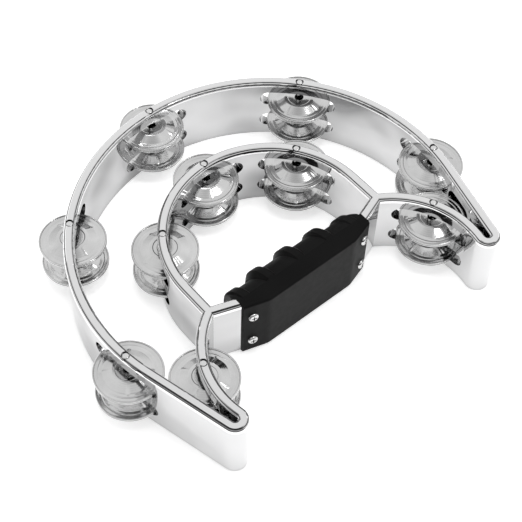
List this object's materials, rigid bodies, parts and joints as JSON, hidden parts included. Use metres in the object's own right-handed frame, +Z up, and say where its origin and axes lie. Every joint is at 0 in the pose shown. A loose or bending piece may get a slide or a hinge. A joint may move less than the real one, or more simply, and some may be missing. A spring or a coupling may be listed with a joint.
{
  "type": "tambourine",
  "caption": "Crescent tambourine with a chromed hollow frame, an inner ring, paired jingles on steel pins in two rows of slots and a black finger-grooved grip.",
  "frame": {"origin": "centre of the plan's bounding box, on the frame's base edge", "axes": "+X to the right across the horns, +Y towards the apex of the crescent, +Z up through the rim; the mouth opens towards -Y"},
  "size_m": [0.2884, 0.2392, 0.0495],
  "materials": {
    "chrome_shell": "chrome plated plastic, mirror bright",
    "jingle_steel": "nickel plated sheet steel, bright",
    "pin_steel": "bright drawn steel",
    "screw_chrome": "bright",
    "grip_black": "satin black, fine grain"
  },
  "bodies": {
    "frame_body": {"frame": "chrome_shell", "grip_front": "grip_black", "grip_back": "grip_black", "grip_screws": "screw_chrome", "pin_outer_apex": "pin_steel", "pin_outer_left": "pin_steel", "pin_outer_right": "pin_steel", "pin_outer_heel_left": "pin_steel", "pin_outer_heel_right": "pin_steel", "pin_inner_apex": "pin_steel", "pin_inner_left": "pin_steel", "pin_inner_right": "pin_steel", "pin_horn_left": "pin_steel", "pin_horn_right": "pin_steel"},
    "jingle_outer_apex_upper_bottom": {"jingle_outer_apex_upper_bottom": "jingle_steel"},
    "jingle_outer_apex_upper_top": {"jingle_outer_apex_upper_top": "jingle_steel"},
    "jingle_outer_apex_lower_bottom": {"jingle_outer_apex_lower_bottom": "jingle_steel"},
    "jingle_outer_apex_lower_top": {"jingle_outer_apex_lower_top": "jingle_steel"},
    "jingle_outer_left_upper_bottom": {"jingle_outer_left_upper_bottom": "jingle_steel"},
    "jingle_outer_left_upper_top": {"jingle_outer_left_upper_top": "jingle_steel"},
    "jingle_outer_left_lower_bottom": {"jingle_outer_left_lower_bottom": "jingle_steel"},
    "jingle_outer_left_lower_top": {"jingle_outer_left_lower_top": "jingle_steel"},
    "jingle_outer_right_upper_bottom": {"jingle_outer_right_upper_bottom": "jingle_steel"},
    "jingle_outer_right_upper_top": {"jingle_outer_right_upper_top": "jingle_steel"},
    "jingle_outer_right_lower_bottom": {"jingle_outer_right_lower_bottom": "jingle_steel"},
    "jingle_outer_right_lower_top": {"jingle_outer_right_lower_top": "jingle_steel"},
    "jingle_outer_heel_left_upper_bottom": {"jingle_outer_heel_left_upper_bottom": "jingle_steel"},
    "jingle_outer_heel_left_upper_top": {"jingle_outer_heel_left_upper_top": "jingle_steel"},
    "jingle_outer_heel_left_lower_bottom": {"jingle_outer_heel_left_lower_bottom": "jingle_steel"},
    "jingle_outer_heel_left_lower_top": {"jingle_outer_heel_left_lower_top": "jingle_steel"},
    "jingle_outer_heel_right_upper_bottom": {"jingle_outer_heel_right_upper_bottom": "jingle_steel"},
    "jingle_outer_heel_right_upper_top": {"jingle_outer_heel_right_upper_top": "jingle_steel"},
    "jingle_outer_heel_right_lower_bottom": {"jingle_outer_heel_right_lower_bottom": "jingle_steel"},
    "jingle_outer_heel_right_lower_top": {"jingle_outer_heel_right_lower_top": "jingle_steel"},
    "jingle_inner_apex_upper_bottom": {"jingle_inner_apex_upper_bottom": "jingle_steel"},
    "jingle_inner_apex_upper_top": {"jingle_inner_apex_upper_top": "jingle_steel"},
    "jingle_inner_apex_lower_bottom": {"jingle_inner_apex_lower_bottom": "jingle_steel"},
    "jingle_inner_apex_lower_top": {"jingle_inner_apex_lower_top": "jingle_steel"},
    "jingle_inner_left_upper_bottom": {"jingle_inner_left_upper_bottom": "jingle_steel"},
    "jingle_inner_left_upper_top": {"jingle_inner_left_upper_top": "jingle_steel"},
    "jingle_inner_left_lower_bottom": {"jingle_inner_left_lower_bottom": "jingle_steel"},
    "jingle_inner_left_lower_top": {"jingle_inner_left_lower_top": "jingle_steel"},
    "jingle_inner_right_upper_bottom": {"jingle_inner_right_upper_bottom": "jingle_steel"},
    "jingle_inner_right_upper_top": {"jingle_inner_right_upper_top": "jingle_steel"},
    "jingle_inner_right_lower_bottom": {"jingle_inner_right_lower_bottom": "jingle_steel"},
    "jingle_inner_right_lower_top": {"jingle_inner_right_lower_top": "jingle_steel"},
    "jingle_horn_left_upper_bottom": {"jingle_horn_left_upper_bottom": "jingle_steel"},
    "jingle_horn_left_upper_top": {"jingle_horn_left_upper_top": "jingle_steel"},
    "jingle_horn_left_lower_bottom": {"jingle_horn_left_lower_bottom": "jingle_steel"},
    "jingle_horn_left_lower_top": {"jingle_horn_left_lower_top": "jingle_steel"},
    "jingle_horn_right_upper_bottom": {"jingle_horn_right_upper_bottom": "jingle_steel"},
    "jingle_horn_right_upper_top": {"jingle_horn_right_upper_top": "jingle_steel"},
    "jingle_horn_right_lower_bottom": {"jingle_horn_right_lower_bottom": "jingle_steel"},
    "jingle_horn_right_lower_top": {"jingle_horn_right_lower_top": "jingle_steel"}
  },
  "joints": [
    {"name": "outer_apex_upper_bottom_slide", "type": "slide", "parent": "frame_body", "child": "jingle_outer_apex_upper_bottom", "axis": [0, 0, 1], "range_m": [0, 0.0019]},
    {"name": "outer_apex_upper_top_slide", "type": "slide", "parent": "jingle_outer_apex_upper_bottom", "child": "jingle_outer_apex_upper_top", "axis": [0, 0, 1], "range_m": [0, 0.0019]},
    {"name": "outer_apex_lower_bottom_slide", "type": "slide", "parent": "frame_body", "child": "jingle_outer_apex_lower_bottom", "axis": [0, 0, 1], "range_m": [0, 0.0019]},
    {"name": "outer_apex_lower_top_slide", "type": "slide", "parent": "jingle_outer_apex_lower_bottom", "child": "jingle_outer_apex_lower_top", "axis": [0, 0, 1], "range_m": [0, 0.0019]},
    {"name": "outer_left_upper_bottom_slide", "type": "slide", "parent": "frame_body", "child": "jingle_outer_left_upper_bottom", "axis": [0, 0, 1], "range_m": [0, 0.0018]},
    {"name": "outer_left_upper_top_slide", "type": "slide", "parent": "jingle_outer_left_upper_bottom", "child": "jingle_outer_left_upper_top", "axis": [0, 0, 1], "range_m": [0, 0.0018]},
    {"name": "outer_left_lower_bottom_slide", "type": "slide", "parent": "frame_body", "child": "jingle_outer_left_lower_bottom", "axis": [0, 0, 1], "range_m": [0, 0.0018]},
    {"name": "outer_left_lower_top_slide", "type": "slide", "parent": "jingle_outer_left_lower_bottom", "child": "jingle_outer_left_lower_top", "axis": [0, 0, 1], "range_m": [0, 0.0018]},
    {"name": "outer_right_upper_bottom_slide", "type": "slide", "parent": "frame_body", "child": "jingle_outer_right_upper_bottom", "axis": [0, 0, 1], "range_m": [0, 0.00215]},
    {"name": "outer_right_upper_top_slide", "type": "slide", "parent": "jingle_outer_right_upper_bottom", "child": "jingle_outer_right_upper_top", "axis": [0, 0, 1], "range_m": [0, 0.00215]},
    {"name": "outer_right_lower_bottom_slide", "type": "slide", "parent": "frame_body", "child": "jingle_outer_right_lower_bottom", "axis": [0, 0, 1], "range_m": [0, 0.00215]},
    {"name": "outer_right_lower_top_slide", "type": "slide", "parent": "jingle_outer_right_lower_bottom", "child": "jingle_outer_right_lower_top", "axis": [0, 0, 1], "range_m": [0, 0.00215]},
    {"name": "outer_heel_left_upper_bottom_slide", "type": "slide", "parent": "frame_body", "child": "jingle_outer_heel_left_upper_bottom", "axis": [0, 0, 1], "range_m": [0, 0.00225]},
    {"name": "outer_heel_left_upper_top_slide", "type": "slide", "parent": "jingle_outer_heel_left_upper_bottom", "child": "jingle_outer_heel_left_upper_top", "axis": [0, 0, 1], "range_m": [0, 0.00225]},
    {"name": "outer_heel_left_lower_bottom_slide", "type": "slide", "parent": "frame_body", "child": "jingle_outer_heel_left_lower_bottom", "axis": [0, 0, 1], "range_m": [0, 0.00225]},
    {"name": "outer_heel_left_lower_top_slide", "type": "slide", "parent": "jingle_outer_heel_left_lower_bottom", "child": "jingle_outer_heel_left_lower_top", "axis": [0, 0, 1], "range_m": [0, 0.00225]},
    {"name": "outer_heel_right_upper_bottom_slide", "type": "slide", "parent": "frame_body", "child": "jingle_outer_heel_right_upper_bottom", "axis": [0, 0, 1], "range_m": [0, 0.002]},
    {"name": "outer_heel_right_upper_top_slide", "type": "slide", "parent": "jingle_outer_heel_right_upper_bottom", "child": "jingle_outer_heel_right_upper_top", "axis": [0, 0, 1], "range_m": [0, 0.002]},
    {"name": "outer_heel_right_lower_bottom_slide", "type": "slide", "parent": "frame_body", "child": "jingle_outer_heel_right_lower_bottom", "axis": [0, 0, 1], "range_m": [0, 0.002]},
    {"name": "outer_heel_right_lower_top_slide", "type": "slide", "parent": "jingle_outer_heel_right_lower_bottom", "child": "jingle_outer_heel_right_lower_top", "axis": [0, 0, 1], "range_m": [0, 0.002]},
    {"name": "inner_apex_upper_bottom_slide", "type": "slide", "parent": "frame_body", "child": "jingle_inner_apex_upper_bottom", "axis": [0, 0, 1], "range_m": [0, 0.0021]},
    {"name": "inner_apex_upper_top_slide", "type": "slide", "parent": "jingle_inner_apex_upper_bottom", "child": "jingle_inner_apex_upper_top", "axis": [0, 0, 1], "range_m": [0, 0.0021]},
    {"name": "inner_apex_lower_bottom_slide", "type": "slide", "parent": "frame_body", "child": "jingle_inner_apex_lower_bottom", "axis": [0, 0, 1], "range_m": [0, 0.0021]},
    {"name": "inner_apex_lower_top_slide", "type": "slide", "parent": "jingle_inner_apex_lower_bottom", "child": "jingle_inner_apex_lower_top", "axis": [0, 0, 1], "range_m": [0, 0.0021]},
    {"name": "inner_left_upper_bottom_slide", "type": "slide", "parent": "frame_body", "child": "jingle_inner_left_upper_bottom", "axis": [0, 0, 1], "range_m": [0, 0.0022]},
    {"name": "inner_left_upper_top_slide", "type": "slide", "parent": "jingle_inner_left_upper_bottom", "child": "jingle_inner_left_upper_top", "axis": [0, 0, 1], "range_m": [0, 0.0022]},
    {"name": "inner_left_lower_bottom_slide", "type": "slide", "parent": "frame_body", "child": "jingle_inner_left_lower_bottom", "axis": [0, 0, 1], "range_m": [0, 0.0022]},
    {"name": "inner_left_lower_top_slide", "type": "slide", "parent": "jingle_inner_left_lower_bottom", "child": "jingle_inner_left_lower_top", "axis": [0, 0, 1], "range_m": [0, 0.0022]},
    {"name": "inner_right_upper_bottom_slide", "type": "slide", "parent": "frame_body", "child": "jingle_inner_right_upper_bottom", "axis": [0, 0, 1], "range_m": [0, 0.00215]},
    {"name": "inner_right_upper_top_slide", "type": "slide", "parent": "jingle_inner_right_upper_bottom", "child": "jingle_inner_right_upper_top", "axis": [0, 0, 1], "range_m": [0, 0.00215]},
    {"name": "inner_right_lower_bottom_slide", "type": "slide", "parent": "frame_body", "child": "jingle_inner_right_lower_bottom", "axis": [0, 0, 1], "range_m": [0, 0.00215]},
    {"name": "inner_right_lower_top_slide", "type": "slide", "parent": "jingle_inner_right_lower_bottom", "child": "jingle_inner_right_lower_top", "axis": [0, 0, 1], "range_m": [0, 0.00215]},
    {"name": "horn_left_upper_bottom_slide", "type": "slide", "parent": "frame_body", "child": "jingle_horn_left_upper_bottom", "axis": [0, 0, 1], "range_m": [0, 0.0018]},
    {"name": "horn_left_upper_top_slide", "type": "slide", "parent": "jingle_horn_left_upper_bottom", "child": "jingle_horn_left_upper_top", "axis": [0, 0, 1], "range_m": [0, 0.0018]},
    {"name": "horn_left_lower_bottom_slide", "type": "slide", "parent": "frame_body", "child": "jingle_horn_left_lower_bottom", "axis": [0, 0, 1], "range_m": [0, 0.0018]},
    {"name": "horn_left_lower_top_slide", "type": "slide", "parent": "jingle_horn_left_lower_bottom", "child": "jingle_horn_left_lower_top", "axis": [0, 0, 1], "range_m": [0, 0.0018]},
    {"name": "horn_right_upper_bottom_slide", "type": "slide", "parent": "frame_body", "child": "jingle_horn_right_upper_bottom", "axis": [0, 0, 1], "range_m": [0, 0.00225]},
    {"name": "horn_right_upper_top_slide", "type": "slide", "parent": "jingle_horn_right_upper_bottom", "child": "jingle_horn_right_upper_top", "axis": [0, 0, 1], "range_m": [0, 0.00225]},
    {"name": "horn_right_lower_bottom_slide", "type": "slide", "parent": "frame_body", "child": "jingle_horn_right_lower_bottom", "axis": [0, 0, 1], "range_m": [0, 0.00225]},
    {"name": "horn_right_lower_top_slide", "type": "slide", "parent": "jingle_horn_right_lower_bottom", "child": "jingle_horn_right_lower_top", "axis": [0, 0, 1], "range_m": [0, 0.00225]}
  ]
}
